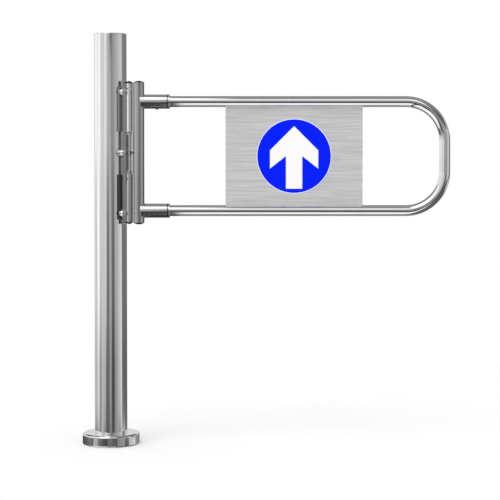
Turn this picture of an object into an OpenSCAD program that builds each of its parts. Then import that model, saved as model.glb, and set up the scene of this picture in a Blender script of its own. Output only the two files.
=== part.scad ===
// Self-closing one-way swing gate: a floor-standing post with a spring-hinged arm.
// The origin is on the floor at the post's axis. The closed arm runs along +X, its sign
// faces -Y, and the arm opens towards +Y.

/* [Post and foot] */
// Outside diameter of the post tube
post_d = 76; // [68:1:84]
// Wall of the post tube
post_wall = 2; // [1.5:0.5:3]
// Height of the post with its cap
post_h = 958; // [900:1:1100]
// Visible thickness of the post cap
cap_t = 5; // [3:1:10]
// Depth of the cap's spigot inside the tube
cap_spigot_h = 16; // [8:1:30]
// Rounding of the cap's top edge
cap_edge_r = 1.2; // [0.4:0.2:2.4]
// Diameter of the base plate
plate_d = 122; // [118:1:126]
// Thickness of the base plate
plate_t = 10; // [6:1:12]
// Circle of the anchor holes
anchor_pcd = 100; // [96:1:102]
// Diameter of the anchor holes, for M10 bolts
anchor_hole_d = 12; // [9:0.5:14]
// Number of anchor holes
anchor_n = 4; // [3:1:6]
// Outside diameter of the foot cover
cover_d = 133; // [130:1:150]
// Height of the foot cover
cover_h = 26; // [20:1:40]
// Sheet thickness of the foot cover
cover_t = 2; // [1:0.5:3]
// Rounding of the cover's rim
cover_rim_r = 5; // [3.5:0.5:8]
// Inside rounding of the cover's turned-in lower lip
cover_lip_r = 1; // [0.5:0.5:2]

/* [Hinge] */
// Distance from the post's top down to the hinge's upper end
hinge_drop = 111; // [60:1:200]
// Length of the whole hinge
hinge_h = 332; // [315:1:345]
// Direction from the post's axis in which the hinge leaf faces, in degrees from +X
leaf_az = -50; // [-53:1:-47]
// Thickness of the hinge leaves
leaf_t = 4; // [3:0.5:5]
// Distance from the leaf's screws to the hinge axis, along the leaf
leaf_reach = 19.5; // [19.3:0.1:22]
// Distance from the leaf's screws to its plain left edge
leaf_edge = 1; // [1:0.5:5]
// Radius of the leaf's lugs round its screws
lug_r = 8.5; // [8:0.25:9.5]
// Radius where a lug runs into the leaf's edge
lug_fillet_r = 5; // [2:0.5:8]
// Rounding of the leaf's two free corners
leaf_corner_r = 5; // [0.5:0.5:5]
// Bevel of the leaves' edges along the hinge axis, in degrees to each side
leaf_bevel = 50; // [35:1:52]
// Distance of the leaf's outer screws from the hinge's ends
screw_inset = 25.5; // [20:0.5:30]
// Thread diameter of the leaf's screws
screw_d = 8; // [6:1:8]
// Head diameter of the leaf's screws
screw_head_d = 14; // [13:0.5:15]
// Head height of the leaf's screws
screw_head_h = 4.4; // [3.5:0.1:5.5]
// Diameter of the washers under the heads
washer_d = 16.4; // [15.5:0.1:17]
// Thickness of the washers
washer_t = 1.5; // [1:0.1:2]
// Thickness of the saddles at their middle
saddle_t = 7; // [6.5:0.5:8]
// Width of the saddles
saddle_w = 14; // [13:1:15]
// Distance from the saddles' outer ends to the hinge's ends
saddle_inset = 13; // [8:0.5:15]
// Distance that the lower saddle sits below its place
saddle_drop = 2; // [0:0.5:5]
// Outside diameter of the spacer behind the middle screw
spacer_d = 15; // [13:0.5:16]
// Width of the tapped bar inside the post
bar_w = 16; // [14:1:20]
// Thickness of the tapped bar
bar_t = 6; // [4:1:8]
// How far the leaf's screws stand out behind the tapped bar
screw_through = 4; // [0:1:8]

/* [Spring barrels] */
// Outside diameter of the barrels
barrel_d = 18; // [17:0.5:18.5]
// Wall of the barrels
barrel_wall = 1.5; // [1:0.25:2]
// Length of each barrel, with its collar and end plug
barrel_unit_h = 117; // [100:1:125]
// Height of the tension collars
collar_h = 24; // [18:1:30]
// Depth of a collar's spigot inside its barrel
collar_spigot_h = 8; // [5:1:12]
// Height of the domed end plugs
plug_h = 6; // [4:0.5:9]
// Number of tommy-bar holes round a collar
tommy_n = 6; // [5:1:6]
// Diameter of the tommy-bar holes
tommy_d = 4; // [3:0.25:4.5]
// How far a tension pin stands out of its collar
tension_pin_out = 2.3; // [2.1:0.1:2.6]
// Diameter of the hinge pins
pin_d = 8; // [7:0.25:8.5]
// Length of the bronze bushes
bush_h = 8; // [5:1:12]
// Wire diameter of the torsion springs
wire_d = 2; // [1.6:0.1:2.2]
// Number of turns of each torsion spring
spring_turns = 15; // [8:1:18]
// Thickness of the discs that carry the hinge pins
boss_h = 6; // [5:1:8]
// How far the stop lugs stand out of the discs
stop_out = 1.9; // [1.2:0.1:2.4]
// Width of the stop lugs on the discs
stop_w = 2.9; // [2:0.1:3.2]

/* [Arm] */
// Distance from the hinge axis to the stile's axis, along the closed arm
stile_dx = 23.5; // [23:0.1:26]
// Distance that the arm's plane lies in front of the hinge axis
arm_front = 14; // [13.5:0.1:15]
// Outside diameter of the stile and of the arm's tube
tube_d = 25.4; // [24:0.1:26]
// Wall of both tubes
tube_wall = 1.5; // [1:0.25:2.5]
// Height of the stile's end plugs that shows
stile_plug_h = 4; // [2:0.5:7]
// Depth of the stile plugs' spigots
stile_spigot_h = 10; // [6:1:20]
// Outside diameter of the sockets
socket_d = 33; // [31:0.5:33]
// Distance from the stile's axis to the sockets' open ends
socket_end = 71.5; // [60:0.5:90]
// Distance from the stile's axis to the sockets' inner ends
socket_start = 4; // [2:0.5:6]
// Depth that the arm's tube goes into a socket
socket_depth = 50; // [40:1:52]
// Distance of the socket's groove from its open end
groove_back = 5.5; // [3:0.5:10]
// Width and depth of the socket's groove
groove_w = 1; // [0.6:0.1:1.5]
// Distance from the stile's axis to the socket's screw
grip_screw_x = 41.8; // [35:0.1:50]
// Thread diameter of the socket's screw
grip_screw_d = 6; // [4:0.5:6]
// Head diameter of the socket's screw
grip_head_d = 10.5; // [8:0.5:11]
// Head height of the socket's screw
grip_head_h = 3.3; // [2:0.1:4]
// Width of the flat that the socket's screw sits on
grip_seat_d = 12.5; // [12:0.5:14]
// Depth of that flat in the socket's underside
grip_seat_h = 0.9; // [0.5:0.1:1.5]
// Distance between the loop's upper and lower runs
loop_h = 252; // [240:1:262]
// Distance from the stile's axis to the loop's far side
arm_len = 720; // [550:5:900]
// Centre-line radius of the loop's bends
bend_r = 90; // [50:1:110]
// Distance of the loop's middle below the hinge's middle
arm_drop = 8; // [0:0.5:10]

/* [Sign] */
// Width of the sheet between the loop's runs
sheet_w = 317; // [200:1:400]
// Thickness of the sheet
sheet_t = 1.5; // [1:0.25:3]
// Distance from the stile's axis to the sheet's middle
sheet_x = 359; // [320:1:380]
// Diameter of the sign with its pale margin
sign_d = 173; // [120:1:200]
// Width of the pale margin
sign_margin = 1.6; // [1:0.1:6]
// Thickness of the sign's white backing
backing_t = 0.8; // [0.4:0.1:1.5]
// Thickness of the sign's blue face
face_t = 0.5; // [0.3:0.1:1]
// Height of the arrow
arrow_h = 145; // [80:1:150]
// Width of the arrow across its head
arrow_w = 112; // [60:1:120]
// Width of the arrow's stem
stem_w = 38; // [20:1:50]
// Height of the arrow's tip above the sign's middle, as a share of the arrow's height
tip_share = 0.48; // [0.44:0.01:0.52]
// Height of the arrowhead's upright edges, as a share of the arrow's height
wing_share = 0.295; // [0.2:0.005:0.35]
// Slope of the arrowhead's underside
wing_slope = 0.79; // [0.6:0.01:1]

/* [Clearances] */
// Gap at a welded or pressed seat
weld_gap = 0.1; // [0.05:0.05:0.3]
// Gap of a screw or a loose plug in its hole
hole_gap = 0.3; // [0.2:0.05:0.5]
// Radial gap of a pressed pin or bush
press_gap = 0.03; // [0.01:0.01:0.05]
// Radial gap of a turning pin or spigot in its bore
run_gap = 0.05; // [0.03:0.01:0.1]
// Gap between parts that pass each other
pass_gap = 0.4; // [0.3:0.05:0.5]
// Gap at which a stop lug or a tension pin rests on the leaf
stop_gap = 0.15; // [0.1:0.05:0.3]

/* [Hidden] */
$fn = 96;
eps = 0.5;
post_r = post_d / 2;
tube_r = tube_d / 2;
barrel_r = barrel_d / 2;
pin_r = pin_d / 2;
bore_r = barrel_r - barrel_wall;
socket_r = socket_d / 2;

// Radius at which the tommy-bar holes end in a collar
tommy_floor_r = pin_r + 0.5;
// Length of the upper barrel plug's spigot
plug_spigot_h = plug_h / 2;
// Free height at each end of a torsion spring
spring_room = 1.5;
// Width of a screw's hex socket as a share of its thread's diameter
key_share = 0.62;
// Floor of a screw's hex socket as a share of the head's height
key_floor = 0.45;

// The leaf's middle plane lies at leaf_n from the post's axis, and the hinge axis is in it
leaf_back = post_r + saddle_t;
leaf_n = leaf_back + leaf_t / 2;
leaf_front = leaf_back + leaf_t;
hinge_x = leaf_n * cos(leaf_az) - leaf_reach * sin(leaf_az);
hinge_y = leaf_n * sin(leaf_az) + leaf_reach * cos(leaf_az);
leaf_dir = leaf_az - 90;
cut_r = barrel_r + pass_gap;

// Levels of the hinge
hinge_top = post_h - hinge_drop;
hinge_z = hinge_top - hinge_h;
low_casing_z = hinge_z + plug_h;
low_collar_z = hinge_z + barrel_unit_h - collar_h;
mid_low = hinge_z + barrel_unit_h;
mid_top = hinge_top - barrel_unit_h;
top_collar_z = hinge_top - plug_h - collar_h;
casing_h = barrel_unit_h - plug_h - collar_h;
screw_pitch = hinge_h / 2 - screw_inset;
screw_z = [for (i = [-1, 0, 1]) hinge_z + hinge_h / 2 + i * screw_pitch];
saddle_len = barrel_unit_h - saddle_inset;
saddle_low_z = mid_low - saddle_drop - saddle_len;

// The tapped bar's outer corners touch the inside of the post tube
bar_front = sqrt(pow(post_r - post_wall - weld_gap, 2) - pow(bar_w / 2, 2));

// The tension pin touches the leaf's edge on the post's side
bearing_r = norm([cut_r, leaf_t / 2]);
pin_turn = asin((tommy_d / 2 + stop_gap) / bearing_r) + atan(leaf_t / 2 / cut_r);
pin_dir = leaf_dir - pin_turn;
// Distance from the hinge axis to the leaves' bevelled edges
leaf_near = 0.5;

// The arm
stile_x = hinge_x + stile_dx;
stile_y = hinge_y - arm_front;
gate_dir = atan2(-arm_front, stile_dx);
gate_leaf_len = norm([stile_dx, arm_front]) - tube_r - weld_gap;
arm_z = hinge_z + hinge_h / 2 - arm_drop;
loop_z = [arm_z - loop_h / 2, arm_z + loop_h / 2];
bend_x = arm_len - tube_r - bend_r;
tube_start = socket_end - socket_depth;
sheet_h = loop_h - tube_d - 2 * weld_gap;
blue_d = sign_d - 2 * sign_margin;

// Frames and shared shapes

// Local X points out of the post square to the hinge leaf, local Y along the leaf
module on_leaf() {
    rotate([0, 0, leaf_az]) children();
}

// Local X points from the post's axis outwards through a leaf screw
module at_leaf_screws(list = screw_z) {
    on_leaf() for (z = list) translate([0, 0, z]) rotate([0, 90, 0]) children();
}

module at_hinge(z = 0, dir = 0) {
    translate([hinge_x, hinge_y, z]) rotate([0, 0, dir]) children();
}

module at_stile(z = 0) {
    translate([stile_x, stile_y, z]) children();
}

module tube(outer_r, inner_r, h) {
    difference() {
        cylinder(r = outer_r, h = h);
        translate([0, 0, -eps]) cylinder(r = inner_r, h = h + 2 * eps);
    }
}

// Half of a turned outline with one rounded outer corner at its top
module rounded_half(r, h, corner) {
    square([r - corner, h]);
    square([r, h - corner]);
    translate([r - corner, h - corner]) intersection() {
        circle(r = corner);
        square(corner);
    }
}

// A flat plug with a rounded edge, on a spigot that goes down into a tube
module tube_plug(r, h, corner, spigot_r, spigot_h) {
    rotate_extrude() rounded_half(r, h, corner);
    translate([0, 0, -spigot_h]) cylinder(r = spigot_r, h = spigot_h + eps);
}

// A low dome of radius r and height h, flat below
module dome(r, h) {
    ball_r = (r * r + h * h) / (2 * h);
    intersection() {
        translate([0, 0, h - ball_r]) sphere(r = ball_r);
        cylinder(r = r + eps, h = h + eps);
    }
}

// A button-head screw with a hex socket: head upwards from z = 0, shank below
module button_screw(head_d, head_h, d, len) {
    difference() {
        dome(head_d / 2, head_h);
        translate([0, 0, head_h * key_floor]) cylinder(d = d * key_share, h = head_h, $fn = 6);
    }
    translate([0, 0, -len]) cylinder(d = d, h = len + eps);
}

// Post and foot

module base_plate() {
    color("gray") difference() {
        cylinder(d = plate_d, h = plate_t);
        for (i = [0:anchor_n - 1])
            rotate([0, 0, (i + 0.5) * 360 / anchor_n]) translate([anchor_pcd / 2, 0, -eps])
                cylinder(d = anchor_hole_d, h = plate_t + 2 * eps);
    }
}

// Half of a turned outline with its outer corners rounded at top and foot
module cover_half(r, h, top_r, foot_r) {
    intersection() {
        rounded_half(r, h, top_r);
        translate([0, h]) mirror([0, 1]) rounded_half(r, h, foot_r);
    }
}

module base_cover() {
    mouth_r = cover_d / 2 - cover_t - cover_lip_r;
    color("silver") rotate_extrude() difference() {
        cover_half(cover_d / 2, cover_h, cover_rim_r, cover_t + cover_lip_r);
        translate([0, cover_t])
            cover_half(cover_d / 2 - cover_t, cover_h - 2 * cover_t,
                       cover_rim_r - cover_t, cover_lip_r);
        translate([0, -eps]) square([mouth_r, cover_t + 2 * eps]);
        translate([0, -eps]) square([post_r + hole_gap, cover_h + 2 * eps]);
    }
}

module post_tube() {
    color("silver") difference() {
        translate([0, 0, plate_t]) tube(post_r, post_r - post_wall, post_h - cap_t - plate_t);
        at_leaf_screws() cylinder(d = screw_d + 2 * hole_gap, h = post_d);
    }
}

module post_cap() {
    color("gainsboro") translate([0, 0, post_h - cap_t])
        tube_plug(post_r, cap_t, cap_edge_r, post_r - post_wall - weld_gap, cap_spigot_h);
}

module nut_bar() {
    bar_h = 2 * screw_pitch + 3 * screw_d;
    color("gray") difference() {
        on_leaf() translate([bar_front - bar_t, -bar_w / 2, screw_z[1] - bar_h / 2])
            cube([bar_t, bar_w, bar_h]);
        at_leaf_screws() cylinder(d = screw_d + 2 * run_gap, h = post_d);
    }
}

// Hinge, on the post's side

// A flat strip whose back follows the round post
module saddle(z) {
    back = sqrt(pow(post_r, 2) - pow(saddle_w / 2, 2)) - eps;
    color("silver") difference() {
        on_leaf() translate([back, -saddle_w / 2, z])
            cube([leaf_back - back, saddle_w, saddle_len]);
        translate([0, 0, z - eps]) cylinder(r = post_r + weld_gap, h = saddle_len + 2 * eps);
        at_leaf_screws() cylinder(d = screw_d + 2 * hole_gap, h = post_d);
    }
}

module upper_saddle() saddle(mid_top);

module lower_saddle() saddle(saddle_low_z);

module middle_spacer() {
    color("silver") difference() {
        at_leaf_screws([screw_z[1]]) difference() {
            cylinder(d = spacer_d, h = leaf_back);
            cylinder(d = screw_d + 2 * hole_gap, h = leaf_back + eps);
        }
        translate([0, 0, screw_z[1] - post_d / 2]) cylinder(r = post_r + weld_gap, h = post_d);
    }
}

// A lug round a screw runs into the leaf's edge in two hollow curves: where these meet the edge
lug_run = sqrt(pow(lug_r + lug_fillet_r, 2) - pow(leaf_edge + lug_fillet_r, 2));

// The lug without its hollow curves
module lug_blank() {
    share = lug_r / (lug_r + lug_fillet_r);
    side = -(leaf_edge + lug_fillet_r) * share;
    circle(r = lug_r);
    polygon([
        [0, lug_run], [-leaf_edge, lug_run], [side, lug_run * share],
        [side, -lug_run * share], [-leaf_edge, -lug_run], [0, -lug_run]
    ]);
}

// Outline of the leaf: first axis along the leaf, second axis up, the middle screw at 0
module leaf_outline() {
    difference() {
        union() {
            translate([-leaf_edge, -hinge_h / 2]) square([leaf_edge + leaf_reach, hinge_h]);
            for (i = [-1, 0, 1]) translate([0, i * screw_pitch]) lug_blank();
        }
        for (i = [-1, 0, 1]) for (side = [-1, 1])
            translate([-leaf_edge - lug_fillet_r, i * screw_pitch + side * lug_run])
                circle(r = lug_fillet_r);
        for (side = [0, 1]) mirror([0, side]) translate([-leaf_edge, -hinge_h / 2]) difference() {
            translate([-eps, -eps]) square(leaf_corner_r + eps);
            translate([leaf_corner_r, leaf_corner_r]) circle(r = leaf_corner_r);
        }
    }
}

// Outline of a leaf seen along the hinge axis: from its bevelled edge at the axis out to far
module bevelled_edge(half_t, far) {
    run = half_t / tan(leaf_bevel);
    polygon([
        [leaf_near, 0], [leaf_near + run, half_t], [far, half_t],
        [far, -half_t], [leaf_near + run, -half_t]
    ]);
}

module post_leaf() {
    color("silver") difference() {
        on_leaf() translate([leaf_back, 0, screw_z[1]]) rotate([90, 0, 90])
            linear_extrude(leaf_t) leaf_outline();
        at_leaf_screws() cylinder(d = screw_d + 2 * hole_gap, h = leaf_front + eps);
        // Seats of the two barrels, which are welded on
        for (z = [low_casing_z, mid_top])
            at_hinge(z - eps) cylinder(r = barrel_r + weld_gap, h = casing_h + 2 * eps);
        // Room for the collars, the end plugs and the pin discs
        at_hinge(hinge_z - eps) cylinder(r = cut_r, h = plug_h + eps);
        at_hinge(low_collar_z) cylinder(r = cut_r, h = collar_h + boss_h + 2 * pass_gap);
        at_hinge(mid_top - boss_h - 2 * pass_gap) cylinder(r = cut_r, h = boss_h + 2 * pass_gap);
        at_hinge(top_collar_z) cylinder(r = cut_r, h = collar_h + plug_h + eps);
        // The bevelled edge of the flat middle zone stops just short of the hinge axis
        at_hinge(hinge_z - eps, leaf_dir) linear_extrude(hinge_h + 2 * eps) difference() {
            translate([-leaf_t, -leaf_t]) square(2 * leaf_t);
            bevelled_edge(leaf_t, 3 * leaf_t);
        }
    }
}

module leaf_screws() {
    len = leaf_front + washer_t - bar_front + bar_t + screw_through;
    color("silver") at_leaf_screws() translate([0, 0, leaf_front + washer_t])
        button_screw(screw_head_d, screw_head_h, screw_d, len);
}

module leaf_washers() {
    color("silver") at_leaf_screws() translate([0, 0, leaf_front])
        tube(washer_d / 2, screw_d / 2 + hole_gap, washer_t);
}

module spring_barrel(z) {
    color("silver") at_hinge(z) tube(barrel_r, bore_r, casing_h);
}

module upper_spring_barrel() spring_barrel(mid_top);

module lower_spring_barrel() spring_barrel(low_casing_z);

// A bush pressed into the lower end of a barrel
module bush(z) {
    color("darkgoldenrod") at_hinge(z) tube(bore_r - press_gap, pin_r + run_gap, bush_h);
}

module upper_bush() bush(mid_top);

module lower_bush() bush(low_casing_z);

// A collar with a spigot down into its barrel and a row of tommy-bar holes
module tension_collar(z) {
    color("silver") difference() {
        union() {
            at_hinge(z + pass_gap / 2) cylinder(r = barrel_r, h = collar_h - pass_gap / 2);
            at_hinge(z - collar_spigot_h) cylinder(r = bore_r - run_gap, h = collar_spigot_h + eps);
        }
        at_hinge(z - collar_spigot_h - eps)
            cylinder(r = pin_r + run_gap, h = collar_spigot_h + collar_h + 2 * eps);
        for (i = [0:tommy_n - 1])
            at_hinge(z + collar_h / 2, pin_dir + i * 360 / tommy_n) rotate([0, 90, 0])
                translate([0, 0, tommy_floor_r]) cylinder(d = tommy_d, h = barrel_r);
    }
}

module upper_tension_collar() tension_collar(top_collar_z);

module lower_tension_collar() tension_collar(low_collar_z);

module tension_pin(z) {
    floor_r = tommy_floor_r + weld_gap;
    color("gray") at_hinge(z + collar_h / 2, pin_dir) rotate([0, 90, 0])
        translate([0, 0, floor_r])
            cylinder(d = tommy_d - 2 * run_gap, h = barrel_r + tension_pin_out - floor_r);
}

module upper_tension_pin() tension_pin(top_collar_z);

module lower_tension_pin() tension_pin(low_collar_z);

// Wound wire: a tube of 6 sides along a helix, drawn as one closed mesh
spring_h = casing_h - bush_h - collar_spigot_h - wire_d - 2 * spring_room;
spring_r = (pin_r + bore_r) / 2;
spring_rings = spring_turns * 8;
wire_sides = 6;
function coil_at(i) = [
    spring_r * cos(i * 45), spring_r * sin(i * 45), spring_h * i / spring_rings
];
function wire_ring(i) = [
    for (k = [0:wire_sides - 1])
        let (a = k * 360 / wire_sides, out = [cos(i * 45), sin(i * 45), 0])
            coil_at(i) + wire_d / 2 * (cos(a) * out + sin(a) * [0, 0, 1])
];
function quad_faces(i, k) =
    let (a = i * wire_sides + k, b = i * wire_sides + (k + 1) % wire_sides)
        [[a, a + wire_sides, b], [b, a + wire_sides, b + wire_sides]];

module torsion_spring(z) {
    points = [for (i = [0:spring_rings]) each wire_ring(i)];
    sides = [for (i = [0:spring_rings - 1]) for (k = [0:wire_sides - 1]) each quad_faces(i, k)];
    first = [for (k = [1:wire_sides - 2]) [0, k, k + 1]];
    last_at = spring_rings * wire_sides;
    last = [for (k = [1:wire_sides - 2]) [last_at, last_at + k + 1, last_at + k]];
    color("dimgray") at_hinge(z + bush_h + wire_d / 2 + spring_room)
        polyhedron(points = points, faces = concat(sides, first, last));
}

module upper_torsion_spring() torsion_spring(mid_top);

module lower_torsion_spring() torsion_spring(low_casing_z);

// The upper plug closes the collar, the lower one closes the barrel's foot
module upper_barrel_plug() {
    color("silver") at_hinge(hinge_top - plug_h) {
        dome(barrel_r, plug_h);
        translate([0, 0, -plug_spigot_h]) cylinder(r = pin_r, h = plug_spigot_h + eps);
    }
}

module lower_barrel_plug() {
    color("silver") at_hinge(low_casing_z) mirror([0, 0, 1]) dome(barrel_r, plug_h);
}

// Hinge, on the gate's side

// A block beside the leaf's flat on a pin disc; side 1 is its front, side -1 its back
module stop_lug(side, turn, z) {
    at_hinge(z, leaf_dir + turn)
        translate([0, side * (leaf_t / 2 + stop_gap + stop_w / 2) - stop_w / 2, 0])
            cube([barrel_r + stop_out, stop_w, boss_h]);
}

module pin_disc(z) {
    at_hinge(z) cylinder(r = barrel_r, h = boss_h);
    stop_lug(1, 0, z);
    stop_lug(-1, -90, z);
}

// A plate between two discs that hold the pins, welded to the stile
module gate_leaf() {
    low = mid_low + pass_gap;
    high = mid_top - pass_gap;
    color("silver") difference() {
        union() {
            at_hinge(low, gate_dir) linear_extrude(high - low)
                bevelled_edge(leaf_t / 2, gate_leaf_len + tube_r / 2);
            pin_disc(low);
            pin_disc(high - boss_h);
        }
        for (z = [low, high - boss_h])
            at_hinge(z - eps) cylinder(r = pin_r + press_gap, h = boss_h + 2 * eps);
        at_stile(low - eps) cylinder(r = tube_r + weld_gap, h = high - low + 2 * eps);
    }
}

module hinge_pin(low, high) {
    color("gray") at_hinge(low) cylinder(r = pin_r, h = high - low);
}

module upper_hinge_pin()
    hinge_pin(mid_top - pass_gap - boss_h, hinge_top - plug_h - plug_spigot_h - pass_gap);

module lower_hinge_pin() hinge_pin(low_casing_z + stop_gap, mid_low + pass_gap + boss_h);

// Arm

module stile_tube() {
    color("silver") at_stile(hinge_z + stile_plug_h)
        tube(tube_r, tube_r - tube_wall, hinge_h - 2 * stile_plug_h);
}

module stile_plug() {
    dome(tube_r, stile_plug_h);
    translate([0, 0, -stile_spigot_h])
        cylinder(r = tube_r - tube_wall - weld_gap, h = stile_spigot_h + eps);
}

module stile_top_plug() {
    color("silver") at_stile(hinge_top - stile_plug_h) stile_plug();
}

module stile_bottom_plug() {
    color("silver") at_stile(hinge_z + stile_plug_h) mirror([0, 0, 1]) stile_plug();
}

// A socket welded round the front of the stile, with a blind bore for the loop's end
module socket(z) {
    difference() {
        at_stile(z) rotate([0, 90, 0]) difference() {
            translate([0, 0, socket_start]) cylinder(r = socket_r, h = socket_end - socket_start);
            translate([0, 0, tube_start - weld_gap])
                cylinder(r = tube_r + weld_gap, h = socket_depth + weld_gap + eps);
            translate([0, 0, socket_end - groove_back])
                tube(socket_r + eps, socket_r - groove_w / 2, groove_w);
        }
        at_stile(z - socket_r - eps) cylinder(r = tube_r + weld_gap, h = socket_d + 2 * eps);
    }
}

module upper_socket() {
    color("silver") difference() {
        socket(loop_z[1]);
        at_stile(loop_z[1]) translate([grip_screw_x, 0, -socket_r - eps]) {
            cylinder(d = grip_seat_d, h = grip_seat_h + eps);
            cylinder(d = grip_screw_d + 2 * hole_gap, h = socket_r);
        }
    }
}

module lower_socket() {
    color("silver") socket(loop_z[0]);
}

module socket_screw() {
    color("silver") at_stile(loop_z[1]) translate([grip_screw_x, 0, grip_seat_h - socket_r])
        mirror([0, 0, 1]) button_screw(grip_head_d, grip_head_h, grip_screw_d, socket_r / 2);
}

// One straight run of hollow tube along +X
module run(x0, x1) {
    translate([x0, 0, 0]) rotate([0, 90, 0]) tube(tube_r, tube_r - tube_wall, x1 - x0);
}

// A quarter bend in the XZ plane, from +X to -Z
module quarter_bend() {
    rotate([90, 0, 0]) rotate_extrude(angle = 90) translate([bend_r, 0]) difference() {
        circle(r = tube_r);
        circle(r = tube_r - tube_wall);
    }
}

module arm_loop() {
    half = loop_h / 2;
    color("silver") difference() {
        at_stile(arm_z) {
            translate([0, 0, half]) run(tube_start, bend_x);
            translate([0, 0, -half]) run(tube_start, bend_x);
            translate([bend_x, 0, half - bend_r]) quarter_bend();
            translate([bend_x, 0, bend_r - half]) mirror([0, 0, 1]) quarter_bend();
            translate([bend_x + bend_r, 0, bend_r - half])
                tube(tube_r, tube_r - tube_wall, loop_h - 2 * bend_r);
        }
        at_stile(loop_z[1]) translate([grip_screw_x, 0, -tube_d])
            cylinder(d = grip_screw_d + 2 * hole_gap, h = tube_d);
    }
}

// Sign

module sign_sheet() {
    color("lightgray") at_stile(arm_z) translate([sheet_x - sheet_w / 2, -sheet_t / 2, -sheet_h / 2])
        cube([sheet_w, sheet_t, sheet_h]);
}

// Local Z points out of the sheet's front, at the sign's middle
module on_sheet(out) {
    at_stile(arm_z) translate([sheet_x, -sheet_t / 2 - out, 0]) rotate([90, 0, 0]) children();
}

module sign_backing() {
    color("white") on_sheet(0) cylinder(d = sign_d, h = backing_t);
}

// An arrow that points up, its head sloping at 45 degrees
module arrow_outline() {
    half = arrow_w / 2;
    stem = stem_w / 2;
    tip = arrow_h * tip_share;
    foot = tip - arrow_h;
    shoulder = tip - half;
    wing = shoulder - arrow_h * wing_share;
    armpit = wing + (half - stem) * wing_slope;
    polygon([
        [0, tip], [half, shoulder], [half, wing], [stem, armpit], [stem, foot],
        [-stem, foot], [-stem, armpit], [-half, wing], [-half, shoulder]
    ]);
}

module sign_face() {
    color("blue") on_sheet(backing_t) linear_extrude(face_t) difference() {
        circle(d = blue_d);
        arrow_outline();
    }
}

base_plate();
base_cover();
post_tube();
post_cap();
nut_bar();
upper_saddle();
lower_saddle();
middle_spacer();
post_leaf();
leaf_screws();
leaf_washers();
upper_spring_barrel();
lower_spring_barrel();
upper_tension_collar();
lower_tension_collar();
upper_tension_pin();
lower_tension_pin();
upper_torsion_spring();
lower_torsion_spring();
upper_bush();
lower_bush();
upper_barrel_plug();
lower_barrel_plug();
gate_leaf();
upper_hinge_pin();
lower_hinge_pin();
stile_tube();
stile_top_plug();
stile_bottom_plug();
upper_socket();
lower_socket();
socket_screw();
arm_loop();
sign_sheet();
sign_backing();
sign_face();
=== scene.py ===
from math import cos, pi, radians, sin, sqrt

import bmesh
import bpy
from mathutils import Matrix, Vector


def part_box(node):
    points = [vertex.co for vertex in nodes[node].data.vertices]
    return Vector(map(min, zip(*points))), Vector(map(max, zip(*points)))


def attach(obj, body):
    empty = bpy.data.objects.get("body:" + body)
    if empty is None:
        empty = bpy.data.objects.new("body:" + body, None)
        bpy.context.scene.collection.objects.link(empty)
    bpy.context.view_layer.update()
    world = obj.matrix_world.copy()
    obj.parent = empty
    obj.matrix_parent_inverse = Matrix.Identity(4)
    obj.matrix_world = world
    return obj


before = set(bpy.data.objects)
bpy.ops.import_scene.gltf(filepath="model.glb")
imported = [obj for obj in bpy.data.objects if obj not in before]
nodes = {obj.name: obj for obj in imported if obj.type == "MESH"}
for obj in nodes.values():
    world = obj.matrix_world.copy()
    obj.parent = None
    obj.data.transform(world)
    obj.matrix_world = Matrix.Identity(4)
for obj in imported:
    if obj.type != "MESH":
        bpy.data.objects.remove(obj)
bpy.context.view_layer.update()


# The room: pale and dark screens stand round the gate at every height, under a grey ceiling.
# The polished tubes mirror them as bands along their length, and the camera itself sees
# plain white.

class Wire:
    """An output socket of a node tree. Sums and products of wires add Math nodes."""

    def __init__(self, tree, socket=None):
        self.tree = tree
        self.socket = socket

    def node(self, kind, settings=None, inputs=None, output=0):
        made = self.tree.nodes.new("ShaderNode" + kind)
        for name, value in (settings or {}).items():
            if name == "stops":
                ramp = made.color_ramp
                while len(ramp.elements) < len(value):
                    ramp.elements.new(1)
                for stop, (place, colour) in zip(ramp.elements, value):
                    stop.position = place
                    stop.color = (*colour, 1)
            else:
                setattr(made, name, value)
        for name, value in (inputs or {}).items():
            if isinstance(value, Wire):
                self.tree.links.new(value.socket, made.inputs[name])
            else:
                made.inputs[name].default_value = value
        return Wire(self.tree, made.outputs[output])

    def maths(self, operation, *values):
        return self.node("Math", {"operation": operation}, dict(enumerate(values)))

    def __add__(self, other):
        return self.maths("ADD", self, other)

    def __sub__(self, other):
        return self.maths("SUBTRACT", self, other)

    def __rsub__(self, other):
        return self.maths("SUBTRACT", other, self)

    def __mul__(self, other):
        return self.maths("MULTIPLY", self, other)

    def __truediv__(self, other):
        return self.maths("DIVIDE", self, other)

    def __abs__(self):
        return self.maths("ABSOLUTE", self)

    __radd__ = __add__
    __rmul__ = __mul__

    def power(self, exponent):
        return self.maths("POWER", self, exponent)

    def step(self, low, high):
        """0 at low and below, 1 at high and above, smooth between."""
        return self.node(
            "MapRange",
            {"interpolation_type": "SMOOTHSTEP"},
            {"Value": self, "From Min": low, "From Max": high},
        )

    def between(self, start, end):
        """1 between two soft edges and 0 outside them, each edge from low to high."""
        return self.step(*start) * (1 - self.step(*end))

    def axes(self):
        return [self.node("SeparateXYZ", inputs={"Vector": self}, output=i) for i in range(3)]

    def blend(self, first, second):
        """The first colour where this mask is 0, the second where it is 1."""
        factor, colour_a, colour_b, colour_out = 0, 6, 7, 2
        sockets = {factor: self, colour_a: first, colour_b: second}
        return self.node("Mix", {"data_type": "RGBA"}, sockets, colour_out)


def shown(value):
    """The light that a screen shows as this share of white, by the sRGB curve."""
    return ((value + 0.055) / 1.055) ** 2.4


def grey(value, warm=0.0):
    """A neutral of that share of white, a little warmer or, below 0, cooler."""
    return tuple(shown(value * (1 + warm * k)) for k in (1, 0, -1))


room = bpy.data.worlds.new("room")
bpy.context.scene.world = room
room.use_nodes = True
room.node_tree.nodes.clear()
air = Wire(room.node_tree)

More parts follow.
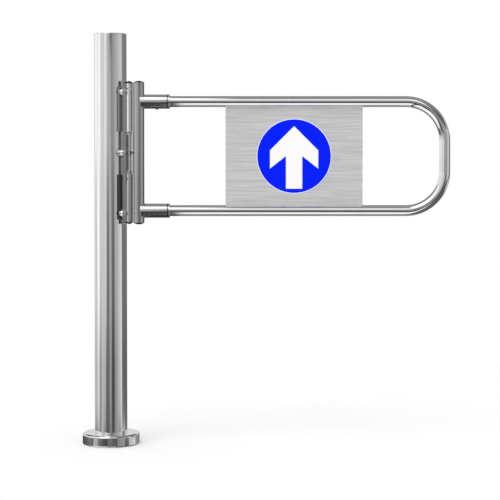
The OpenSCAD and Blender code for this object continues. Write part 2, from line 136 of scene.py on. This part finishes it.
# Where a reflection looks: its direction, how far round from the front towards the right and
# how far up, in degrees
look_x, look_y, look_z = air.node("TexCoord", output="Generated").axes()
around = air.maths("ARCTAN2", look_x, 0 - look_y) / (2 * pi) + 0.5
bearing = (around - 0.5) * 360
aside = abs(bearing)
rise = air.maths("ARCSINE", look_z) * (180 / pi)

screen_light = 1.12
screen_edge = 1.2


def screens(bands):
    """Screens that stand round the gate. Each band is where it ends, in degrees from the
    front towards the right, and its shade at its start and its end."""
    stops = []
    start = -180
    for end, first, last in bands:
        edge = screen_edge if start > -180 else 0
        for place, shade in ((start + edge, first), (end - screen_edge, last)):
            colour = grey(*shade) if isinstance(shade, tuple) else grey(shade)
            stops.append(((place + 180) / 360, tuple(screen_light * c for c in colour)))
        start = end
    return air.node("ValToRGB", {"stops": stops}, {"Fac": around})


# Each height has its own screens: level with the arm, at knee height, lower down, and on
# the floor round the foot
head_height = screens([
    (-135, 0.85, 0.85), (-105, 1.0, 1.0), (-92, 0.90, 0.95), (-70, 1.0, 1.0),
    (-40, (0.85, -0.02), (0.82, -0.02)), (-22, 0.92, 0.90), (10, 0.75, 0.65),
    (88, 0.55, 0.82), (97, 0.75, 0.70), (180, 0.50, 0.45)
])
knee_height = screens([
    (-105, 0.88, 0.80), (-82, 1.0, 1.05), (-35, (0.80, -0.01), (0.82, -0.01)),
    (-24, 0.85, 0.80), (-5, 0.45, 0.45), (10, 0.68, 0.68), (30, 0.45, 0.38),
    (90, 0.62, 0.88), (180, 0.45, 0.45)
])
shin_height = screens([
    (-105, 0.75, 0.72), (-85, 0.90, 0.90), (-65, 0.58, 0.58), (-32, 0.75, 0.72),
    (-5, 0.42, 0.42), (10, 0.60, 0.60), (30, 0.28, 0.28), (90, 0.50, 0.88),
    (180, 0.38, 0.38)
])
floor_height = screens([
    (-72, 0.20, 0.40), (-50, 0.75, 0.65), (-10, 0.40, 0.25), (30, 0.45, 0.35),
    (62, 0.55, 0.60), (82, 0.30, 0.35), (120, 0.75, 0.90), (180, 0.60, 0.50)
])
ceiling = screens([
    (-100, 0.55, 0.55), (30, 1.0, 1.0), (75, 0.42, 0.50), (180, 0.58, 0.56)
])
mirrored = rise.step(-9.9, -9.5).blend(floor_height, shin_height)
mirrored = rise.step(-8, -4.5).blend(mirrored, knee_height)
mirrored = rise.step(-3, 0.8).blend(mirrored, head_height)
mirrored = abs(rise).step(20, 24).blend(mirrored, ceiling)

# A pale wall behind the gate, which the top of the foot cover mirrors
wall = aside.step(112, 124) * rise.between((4, 5), (20, 24))
# A black card below the camera, and one above it from the middle to the right with a slit
slit = rise.between((9.2, 9.5), (11.0, 11.3))
above = bearing.step(-3.96, -2.52) * rise.between((3.3, 3.7), (14, 18)) * (1 - slit)
below = rise.between((-36, -30), (-12.5, -10.8))
middle = (above + below) * (1 - aside.step(15, 19))
# Dark grey cards above and below, further right, and the dim floor on that side
above_or_below = rise.step(12.5, 13.5) + (1 - rise.step(-12.5, -10.8))
right = bearing.between((23.4, 30.6), (75.6, 82.8)) * above_or_below
right = right * (1 - abs(rise).step(30, 38))
low_right = bearing.between((21.6, 32.4), (144, 158.4)) * (1 - rise.step(-30, -22))
# A dark board that lies at the left from front to back, which the sockets mirror
board = look_x.between((-0.12, -0.09), (-0.044, -0.040))
low_board = board * (1 - rise.step(-11, -10.6))
# The ceiling at the back and overhead, and the floor right under the gate
behind = aside.step(95, 105) * rise.step(24, 28)
overhead = rise.step(40, 60)
underneath = (1 - rise.step(-84, -68)) * (1 - board)
for card, shade in (
        (wall, 0.90), (middle, 0.06), (right, 0.36), (low_right, 0.40),
        (low_board, 0.25), (behind, 0.45), (overhead, 0.60), (underneath, 0.58)):
    mirrored = card.blend(mirrored, (*grey(shade), 1))

# Matt pieces are lit by an even pale room
plain_room = (0.86, 0.86, 0.86, 1)
white_room = (1, 1, 1, 1)
seen_directly = air.node("LightPath", output="Is Camera Ray")
seen_in_gloss = air.node("LightPath", output="Is Glossy Ray")
lit = seen_in_gloss.blend(plain_room, mirrored)
backdrop = air.node("Background", inputs={
    "Color": seen_directly.blend(lit, white_room), "Strength": 1.0})
outlet = room.node_tree.nodes.new("ShaderNodeOutputWorld")
room.node_tree.links.new(backdrop.socket, outlet.inputs["Surface"])

# One broad soft lamp, high at the left in front
lamp_data = bpy.data.lights.new("soft_lamp", "SUN")
lamp_data.energy = 0.6
lamp_data.angle = radians(38)
lamp = bpy.data.objects.new("soft_lamp", lamp_data)
bpy.context.scene.collection.objects.link(lamp)
shines_towards = Vector((0.42, 0.62, -1.0))
lamp.rotation_euler = shines_towards.to_track_quat("-Z", "Y").to_euler()

# The camera stands about four metres off, level with the arm, and looks slightly down
eye = bpy.data.cameras.new("camera")
eye.lens = 123.05
eye.shift_y = -0.12
camera = bpy.data.objects.new("camera", eye)
bpy.context.scene.collection.objects.link(camera)
camera.location = (0.3257, -3.99, 0.717)
looks_down = 1.7725
camera.rotation_euler = (radians(90 - looks_down), 0, 0)
bpy.context.scene.camera = camera
bpy.context.scene.view_settings.view_transform = "Standard"


# The floor: smooth pale paving under the post. It fades into the white of the room, and
# keeps the soft shadow of the gate.

def finish_named(name):
    """A new material, and the wire that its nodes hang on."""
    material = bpy.data.materials.new(name)
    material.use_nodes = True
    material.node_tree.nodes.clear()
    return material, Wire(material.node_tree)


def close(wire, shader):
    outlet = wire.tree.nodes.new("ShaderNodeOutputMaterial")
    wire.tree.links.new(shader.socket, outlet.inputs["Surface"])


floor_r = 4.0
floor_mesh = bpy.data.meshes.new("floor")
paving = bmesh.new()
bmesh.ops.create_circle(paving, cap_ends=True, radius=floor_r, segments=64)
paving.to_mesh(floor_mesh)
floor = bpy.data.objects.new("floor", floor_mesh)
bpy.context.scene.collection.objects.link(floor)
floor.location = (0.1, 0, -0.0004)
floor.visible_glossy = False

# Metres from the middle where the paving starts to fade and where it is gone
fade_starts, fade_ends = 0.5, 1.8
# What lifts the paving to white for the camera
paving_glow = 0.085
paving_finish, dust = finish_named("floor_white")
spot = dust.node("TexCoord", output="Object")
spot_x, spot_y, _ = spot.axes()
fade = (spot_x * spot_x + spot_y * spot_y).power(0.5).step(fade_starts, fade_ends)
matt = dust.node("BsdfDiffuse", inputs={"Color": (0.93, 0.93, 0.93, 1)})
seen = dust.node("LightPath", output="Is Camera Ray")
glow = dust.node("Emission", inputs={"Color": (1, 1, 1, 1), "Strength": seen * paving_glow})
shaded = dust.node("AddShader", inputs={0: matt, 1: glow})
white = dust.node("Emission", inputs={"Color": (1, 1, 1, 1), "Strength": 1.0})
close(dust, dust.node("MixShader", inputs={0: fade * seen, 1: shaded, 2: white}))
floor.data.materials.append(paving_finish)


# The post: a tube of stainless steel, ground round and then polished, with a turned cap
# pressed into its top. Its foot is welded to a base plate under a spun cover.

def dress(finish, *names):
    """The finish of these pieces of the frame."""
    for name in names:
        for slot in nodes[name].material_slots:
            slot.material = finish


# How much the gloss varies, how dark the mottling gets, how far a sharp edge is worn round,
# and the sizes of the two patterns of wear, per metre
cloud = 0.25
mottle_dark = 0.95
worn_edge = 0.0005
smear_scale, shade_scale, wave_scale = 22.0, 7.0, 9.0
# Painted shade in a groove, near black, and how far from the middle of the groove it ends
groove_shade_colour = (0.05, 0.05, 0.05, 1)
groove_shade_inner, groove_shade_outer = 0.0008, 0.0014


def steel(name, colour, roughness, grain=None, grain_depth=0.0, wave=0.0, rim=1.0,
          groove_shade_x=None):
    """Bare steel. The grain is how fine the grinding marks are along x, y and z, per metre,
    the wave is how deep the surface is out of true, and the rim is what is left of the
    brightness where the surface turns away, a painted shade on the outline. The last argument
    is where a groove runs round the piece, and a near-black line of painted shade lies in it."""
    material, metal = finish_named(name)
    place = metal.node("TexCoord", output="Object")
    smear = metal.node(
        "TexNoise", inputs={"Vector": place, "Scale": smear_scale, "Detail": 4.0})
    shade = metal.node(
        "TexNoise", inputs={"Vector": place, "Scale": shade_scale, "Detail": 2.0})
    worn = metal.node("Bevel", {"samples": 4}, {"Radius": worn_edge})
    rough = roughness * (1 - cloud) + smear * (2 * cloud * roughness)
    mottle = (shade * 0.6 + smear * 0.4).step(0.3, 0.7)
    tint = mottle.blend((*(mottle_dark * c for c in colour), 1), (*colour, 1))
    # Painted shade: a near-black line in the groove
    if groove_shade_x:
        from_groove = abs(place.axes()[0] - groove_shade_x)
        tint = from_groove.step(groove_shade_inner, groove_shade_outer).blend(groove_shade_colour, tint)
    if wave:
        slow = metal.node(
            "TexNoise", inputs={"Vector": place, "Scale": wave_scale, "Detail": 1.0})
        worn = metal.node("Bump", inputs={"Height": slow, "Distance": wave, "Normal": worn})
    if grain:
        stretched = metal.node("VectorMath", {"operation": "MULTIPLY"}, {0: place, 1: grain})
        marks = metal.node(
            "TexNoise", inputs={"Vector": stretched, "Scale": 1.0, "Detail": 3.0})
        rough = rough + (marks - 0.5) * (0.6 * roughness)
        worn = metal.node(
            "Bump", inputs={"Height": marks, "Distance": grain_depth, "Normal": worn})
    # Painted shade on the outline: a rim below 1 darkens the reflection where the surface
    # turns away
    skin = metal.node("BsdfPrincipled", inputs={
        "Base Color": tint, "Metallic": 1.0, "Roughness": rough, "Normal": worn,
        "Specular Tint": (rim, rim, rim, 1)})
    close(metal, skin)
    return material


post_steel = steel("post_steel", (0.84, 0.84, 0.84), 0.09,
                   grain=(30, 30, 2600), grain_depth=0.0000012, wave=0.00005)
dress(post_steel, "post_tube", "post_cap")


# The foot: a cover spun from thin sheet slides down the post over the base plate, which is
# flame-cut plate, turned and zinc plated, with four anchor holes. A tapped bar of the same
# plain steel lies inside the post behind the hinge.

cover_steel = steel("cover_steel", (0.80, 0.80, 0.80), 0.06,
                    grain=(700, 700, 700), grain_depth=0.000004, wave=0.00012)
dress(cover_steel, "base_cover")
plain_steel = steel("plain_steel", (0.50, 0.51, 0.52), 0.35,
                    grain=(500, 500, 500), grain_depth=0.00001)
dress(plain_steel, "base_plate", "nut_bar")


# The hinge: leaves cut from 4 mm plate and polished on the edge, slim spring barrels welded
# on, and turned collars that set the springs. Light and shade are painted into the steel: the
# upper barrel and collar are painted brighter than the lower ones, and the leaves, saddles
# and domed plugs are painted dark as shade.

# Painted highlight: the upper barrel and collar are made whiter than the same steel below
lit_upper_steel = steel("lit_upper_steel", (1.0, 1.0, 1.0), 0.07, wave=0.00004, rim=0.2)
dress(lit_upper_steel, "upper_spring_barrel", "upper_tension_collar")
# Painted shade: the lower barrel and collar are the same steel made darker
shaded_lower_steel = steel("shaded_lower_steel", (0.75, 0.75, 0.75), 0.08, wave=0.00004, rim=0.2)
dress(shaded_lower_steel, "lower_spring_barrel", "lower_tension_collar")

# Ground up and down
plate_grain = {"grain": (900, 900, 20), "grain_depth": 0.000003}
# Painted shade: the leaves are painted darker than the bright steel they are made of
shaded_leaf_steel = steel("shaded_leaf_steel", (0.60, 0.60, 0.60), 0.13, rim=0.4, **plate_grain)
dress(shaded_leaf_steel, "post_leaf", "gate_leaf")
# Painted shade: the saddles are painted dark, the lower one nearly black
shaded_upper_saddle_steel = steel("shaded_upper_saddle_steel", (0.34, 0.34, 0.34), 0.22, rim=0.3,
                           **plate_grain)
dress(shaded_upper_saddle_steel, "upper_saddle")
shaded_lower_saddle_steel = steel("shaded_lower_saddle_steel", (0.10, 0.10, 0.10), 0.25, rim=0.3,
                           **plate_grain)
dress(shaded_lower_saddle_steel, "lower_saddle")

spacer_steel = steel("spacer_steel", (0.90, 0.90, 0.90), 0.30)
dress(spacer_steel, "middle_spacer")
# Painted shade: the domed plugs are painted nearly black
shaded_plug_steel = steel("shaded_plug_steel", (0.12, 0.12, 0.12), 0.18, rim=0.1)
dress(shaded_plug_steel, "upper_barrel_plug", "lower_barrel_plug", "stile_top_plug",
      "stile_bottom_plug")
screw_steel = steel("screw_steel", (0.90, 0.90, 0.90), 0.12)
dress(screw_steel, "leaf_screws", "leaf_washers")
dress(plain_steel, "upper_tension_pin", "lower_tension_pin", "upper_hinge_pin",
      "lower_hinge_pin")
spring_steel = steel("spring_steel", (0.22, 0.22, 0.23), 0.3,
                     grain=(1500, 1500, 1500), grain_depth=0.000008)
dress(spring_steel, "upper_torsion_spring", "lower_torsion_spring")
bronze = steel("bronze", (0.60, 0.38, 0.17), 0.25,
               grain=(60, 60, 2400), grain_depth=0.000006)
dress(bronze, "upper_bush", "lower_bush")


# The arm: an upright tube, two turned sockets and one long bent tube, all polished bright
# after welding. The bent tube slides into the sockets and a button-head screw locks it.

tube_steel = steel("tube_steel", (0.82, 0.82, 0.82), 0.04, wave=0.00001)
dress(tube_steel, "arm_loop")

# The sockets have a groove near their open ends, with painted shade laid in it
groove_from_end = 0.005
_, socket_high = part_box("upper_socket")
socket_steel = steel("socket_steel", (0.80, 0.80, 0.80), 0.05,
                     grain=(2200, 60, 60), grain_depth=0.0000005,
                     groove_shade_x=socket_high[0] - groove_from_end)
dress(socket_steel, "upper_socket", "lower_socket")
button_screw_steel = steel("button_screw_steel", (0.35, 0.35, 0.35), 0.15, rim=0.3)
dress(button_screw_steel, "socket_screw")
# Painted shade: the stile is painted darker than the tubes' polished steel
shaded_stile_steel = steel("shaded_stile_steel", (0.46, 0.46, 0.46), 0.08, wave=0.00004, rim=0.5)
dress(shaded_stile_steel, "stile_tube")


# The welds: a narrow rippled bead round each socket where it meets the upright tube, along
# the barrels on the post's leaf, and along the gate's leaf on the upright tube.

weld_steel = steel("weld_steel", (0.70, 0.69, 0.67), 0.24,
                   grain=(1200, 1200, 1200), grain_depth=0.000006)
ripple = 0.0016
rings_per_ripple = 4
ripple_swell = 0.13
bead_sides = 8
# An open bead starts and ends thin, and is at its full thickness after so many rings
thin_end, tail_rings = 0.35, 6


def bead(name, path, thickness, body, closed=False):
    """A bead of weld metal laid along the path, in small overlapping scales."""
    spots = [Vector(p) for p in path]
    if closed:
        spots.append(spots[0])
    lengths = [(b - a).length for a, b in zip(spots, spots[1:])]
    count = int(sum(lengths) / (ripple / rings_per_ripple))
    laid = []
    leg, gone = 0, 0.0
    for i in range(count if closed else count + 1):
        reach = sum(lengths) * i / count
        while leg < len(lengths) - 1 and gone + lengths[leg] < reach:
            gone += lengths[leg]
            leg += 1
        share = min(1.0, (reach - gone) / lengths[leg])
        laid.append((spots[leg].lerp(spots[leg + 1], share), reach))
    metal = bmesh.new()
    rings = []
    side = None
    for i, (spot, reach) in enumerate(laid):
        before = laid[i - 1][0] if i or closed else spot
        after = laid[(i + 1) % len(laid)][0] if i + 1 < len(laid) or closed else spot
        ahead = (after - before).normalized()
        if side is None:
            side = ahead.orthogonal()
        side = (side - ahead * side.dot(ahead)).normalized()
        other = ahead.cross(side)
        wide = thickness * (1 + ripple_swell * abs(sin(pi * reach / ripple)))
        if not closed:
            from_end = min(1.0, min(i, len(laid) - 1 - i) / tail_rings)
            wide *= thin_end + (1 - thin_end) * from_end
        angles = [2 * pi * k / bead_sides for k in range(bead_sides)]
        rings.append([
            metal.verts.new(spot + wide * (cos(a) * side + sin(a) * other)) for a in angles])
    for a, b in zip(rings, rings[1:] + (rings[:1] if closed else [])):
        for k in range(bead_sides):
            beside = (k + 1) % bead_sides
            metal.faces.new((a[k], a[beside], b[beside], b[k]))
    if not closed:
        metal.faces.new(rings[0][::-1])
        metal.faces.new(rings[-1])
    bmesh.ops.recalc_face_normals(metal, faces=metal.faces)
    for face in metal.faces:
        face.smooth = True
    mesh = bpy.data.meshes.new(name)
    metal.to_mesh(mesh)
    piece = bpy.data.objects.new(name, mesh)
    bpy.context.scene.collection.objects.link(piece)
    mesh.materials.append(weld_steel)
    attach(piece, body)


stile_low, stile_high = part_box("stile_tube")
stile_spot = (stile_low + stile_high) / 2
stile_r = (stile_high[0] - stile_low[0]) / 2

# Where the flat mouth of the socket meets the two round tubes
socket_bead = 0.0009
rise_points, arch_points = 12, 24
for name in ("upper_socket", "lower_socket"):
    low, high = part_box(name)
    axis_z = (low[2] + high[2]) / 2
    socket_r = (high[2] - low[2]) / 2
    mouth = low[0] - stile_spot[0]
    lip = sqrt(stile_r ** 2 - mouth ** 2)
    corner = sqrt(socket_r ** 2 - lip ** 2)
    seam = []
    # Up the front, over the top, down the back and along underneath
    for way in (1, -1):
        seam += [(mouth, -way * lip, way * corner * (k / rise_points * 2 - 1))
                 for k in range(rise_points)]
        for k in range(arch_points):
            y = -way * lip * cos(pi * k / arch_points)
            seam.append((sqrt(stile_r ** 2 - y ** 2), y, way * sqrt(socket_r ** 2 - y ** 2)))
    bead(name + "_weld", [(stile_spot[0] + x, stile_spot[1] + y, axis_z + z)
                          for x, y, z in seam], socket_bead, "gate", closed=True)

# The long straight beads stop a little short of both ends
straight_bead = 0.0008
short_of_end = 0.003
plate_half = 0.002


def upright_bead(name, foot, low, high, body):
    path = [(foot.x, foot.y, low[2] + short_of_end), (foot.x, foot.y, high[2] - short_of_end)]
    bead(name, path, straight_bead, body)


barrel_low, barrel_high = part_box("upper_spring_barrel")
barrel_r = (barrel_high[0] - barrel_low[0]) / 2
hinge_spot = (barrel_low + barrel_high) / 2
hinge_spot.z = 0
leaf_angle = radians(-50)
out_of_leaf = Vector((cos(leaf_angle), sin(leaf_angle), 0))
along_leaf = Vector((-out_of_leaf.y, out_of_leaf.x, 0))
for name in ("upper_spring_barrel", "lower_spring_barrel"):
    low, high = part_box(name)
    for face, side in (("front", 1), ("back", -1)):
        foot = (hinge_spot + side * plate_half * out_of_leaf
                - sqrt(barrel_r ** 2 - plate_half ** 2) * along_leaf)
        upright_bead(f"{name}_{face}_weld", foot, low, high, "post")

gate_low, gate_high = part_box("gate_leaf")
to_stile = Vector((stile_spot[0] - hinge_spot.x, stile_spot[1] - hinge_spot.y, 0))
span = to_stile.length
to_stile.normalize()
across = Vector((-to_stile.y, to_stile.x, 0))
for face, side in (("front", -1), ("back", 1)):
    foot = (hinge_spot + (span - sqrt(stile_r ** 2 - plate_half ** 2)) * to_stile
            + side * plate_half * across)
    upright_bead(f"gate_leaf_{face}_weld", foot, gate_low, gate_high, "gate")


# The sheet: thin stainless sheet, brushed along its width, let in between the two runs of
# the bent tube and tacked to them. The brushing leaves long streaks and scatters the light.

sheet_bright, sheet_dark = 0.76, 0.78 * 0.76
sheet_rough = 0.45
# How fine the streaks and the hairs in them are along x, y and z, per metre
streak_grain, hair_grain = (12, 12, 420), (25, 25, 1600)
hair_depth = 0.00002
sheet_finish, sheet = finish_named("brushed_sheet")
place = sheet.node("TexCoord", output="Object")
coarse = sheet.node("VectorMath", {"operation": "MULTIPLY"}, {0: place, 1: streak_grain})
fine = sheet.node("VectorMath", {"operation": "MULTIPLY"}, {0: place, 1: hair_grain})
streaks = sheet.node("TexNoise", inputs={"Vector": coarse, "Scale": 1.0, "Detail": 4.0})
hairs = sheet.node("TexNoise", inputs={"Vector": fine, "Scale": 1.0, "Detail": 3.0})
marks = (streaks * 0.65 + hairs * 0.35).step(0.34, 0.66)
tint = marks.blend((sheet_dark, sheet_dark, sheet_dark, 1),
                   (sheet_bright, sheet_bright, sheet_bright, 1))
close(sheet, sheet.node("BsdfPrincipled", inputs={
    "Base Color": tint, "Metallic": 0.3,
    "Roughness": sheet_rough * 0.85 + hairs * (0.3 * sheet_rough),
    "Normal": sheet.node("Bump", inputs={"Height": hairs, "Distance": hair_depth})}))
dress(sheet_finish, "sign_sheet")


# The sign: two discs of gloss film on the sheet, a white one and a blue one a little smaller
# with the arrow cut out of it, so that the white shows through.

film_rough = 0.3
peel_scale, print_scale = 420.0, 12.0
peel_depth = 0.00001


def film(name, colour):
    material, plastic = finish_named(name)
    place = plastic.node("TexCoord", output="Object")
    peel = plastic.node(
        "TexNoise", inputs={"Vector": place, "Scale": peel_scale, "Detail": 2.0})
    shade = plastic.node(
        "TexNoise", inputs={"Vector": place, "Scale": print_scale, "Detail": 2.0})
    tint = shade.blend((*(0.98 * c for c in colour), 1), (*colour, 1))
    close(plastic, plastic.node("BsdfPrincipled", inputs={
        "Base Color": tint, "Roughness": film_rough + peel * 0.04, "Specular IOR Level": 0.05,
        "Normal": plastic.node("Bump", inputs={"Height": peel, "Distance": peel_depth})}))
    return material


dress(film("sign_white", (1.0, 1.0, 1.0)), "sign_backing")
dress(film("sign_blue", (0.0, 0.0144, 1.0)), "sign_face")
